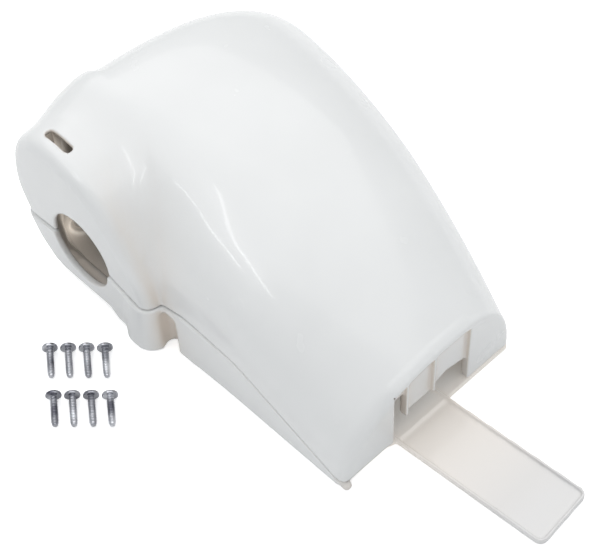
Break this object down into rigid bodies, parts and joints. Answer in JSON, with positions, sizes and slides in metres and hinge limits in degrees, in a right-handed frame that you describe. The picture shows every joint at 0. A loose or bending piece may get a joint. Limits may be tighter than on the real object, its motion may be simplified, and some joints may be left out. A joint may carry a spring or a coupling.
{
  "type": "door opener drive head",
  "caption": "Motorised door-opener drive head: white two-part moulded case with a shaft hub and an arm tongue, worm and spur gear drive inside, cover screws laid beside it.",
  "frame": {"origin": "on the back cover's flat back, in the middle of the tongue's root", "axes": "+Z out of the back cover towards the domed front; the tongue points to -Y; the output shaft runs along X and leaves at -X"},
  "size_m": [0.2924, 0.3774, 0.1244],
  "materials": {
    "white_case": "gloss moulded",
    "zinc": "zinc plated",
    "motor_steel": "zinc plated, drawn",
    "shaft_steel": "ground",
    "bronze": "turned",
    "copper_winding": "enamelled copper",
    "ferrite": "matt",
    "grey_plastic": "satin moulded",
    "black_plastic": "satin moulded",
    "nylon": "natural",
    "red_lead": "insulated wire",
    "black_lead": "insulated wire"
  },
  "bodies": {
    "base": {"back_cover": "white_case", "drive_bracket": "zinc", "bracket_screw_1": "zinc", "bracket_screw_2": "zinc", "bracket_screw_3": "zinc", "bracket_screw_4": "zinc", "foot_screw_1": "zinc", "foot_screw_2": "zinc", "motor_can": "motor_steel", "motor_end_cap": "black_plastic", "motor_magnet_1": "ferrite", "motor_magnet_2": "ferrite", "worm_bearing": "bronze", "gear_case": "grey_plastic", "gear_case_cover": "grey_plastic", "case_cover_screw_1": "zinc", "case_cover_screw_2": "zinc", "case_cover_screw_3": "zinc", "case_cover_screw_4": "zinc", "pinion_bush_1": "bronze", "pinion_bush_2": "bronze", "output_bush_1": "bronze", "output_bush_2": "bronze", "terminal_block": "black_plastic", "motor_lead_1": "red_lead", "motor_lead_2": "black_lead"},
    "cover": {"front_cover": "white_case"},
    "rotor": {"worm_shaft": "shaft_steel", "motor_armature": "copper_winding"},
    "pinion": {"pinion_shaft": "shaft_steel", "worm_wheel": "bronze"},
    "output": {"output_gear": "nylon", "output_hub": "shaft_steel", "hub_collar": "zinc", "collar_screw": "shaft_steel"},
    "cover_screws": {"cover_screw_1": "zinc", "cover_screw_2": "zinc", "cover_screw_3": "zinc", "cover_screw_4": "zinc", "cover_screw_5": "zinc", "cover_screw_6": "zinc", "cover_screw_7": "zinc", "cover_screw_8": "zinc"}
  },
  "joints": [
    {"name": "cover_lift", "type": "slide", "parent": "base", "child": "cover", "axis": [0, 0, 1], "range_m": [0, 0.16]},
    {"name": "rotor_spin", "type": "hinge", "parent": "base", "child": "rotor", "pos_m": [0.008, 0.1, 0.034], "axis": [0, 1, 0], "continuous": true},
    {"name": "pinion_spin", "type": "hinge", "parent": "base", "child": "pinion", "pos_m": [0, 0.17674, 0.061], "axis": [1, 0, 0], "continuous": true},
    {"name": "output_spin", "type": "hinge", "parent": "base", "child": "output", "pos_m": [0, 0.2135, 0.044], "axis": [1, 0, 0], "continuous": true},
    {"name": "screws_lift", "type": "slide", "parent": "base", "child": "cover_screws", "axis": [0, 0, 1], "range_m": [0, 0.06]}
  ],
  "couplings": [
    {"joint": "pinion_spin", "follows": "rotor_spin", "ratio": 0.066667},
    {"joint": "output_spin", "follows": "rotor_spin", "ratio": -0.019048}
  ]
}
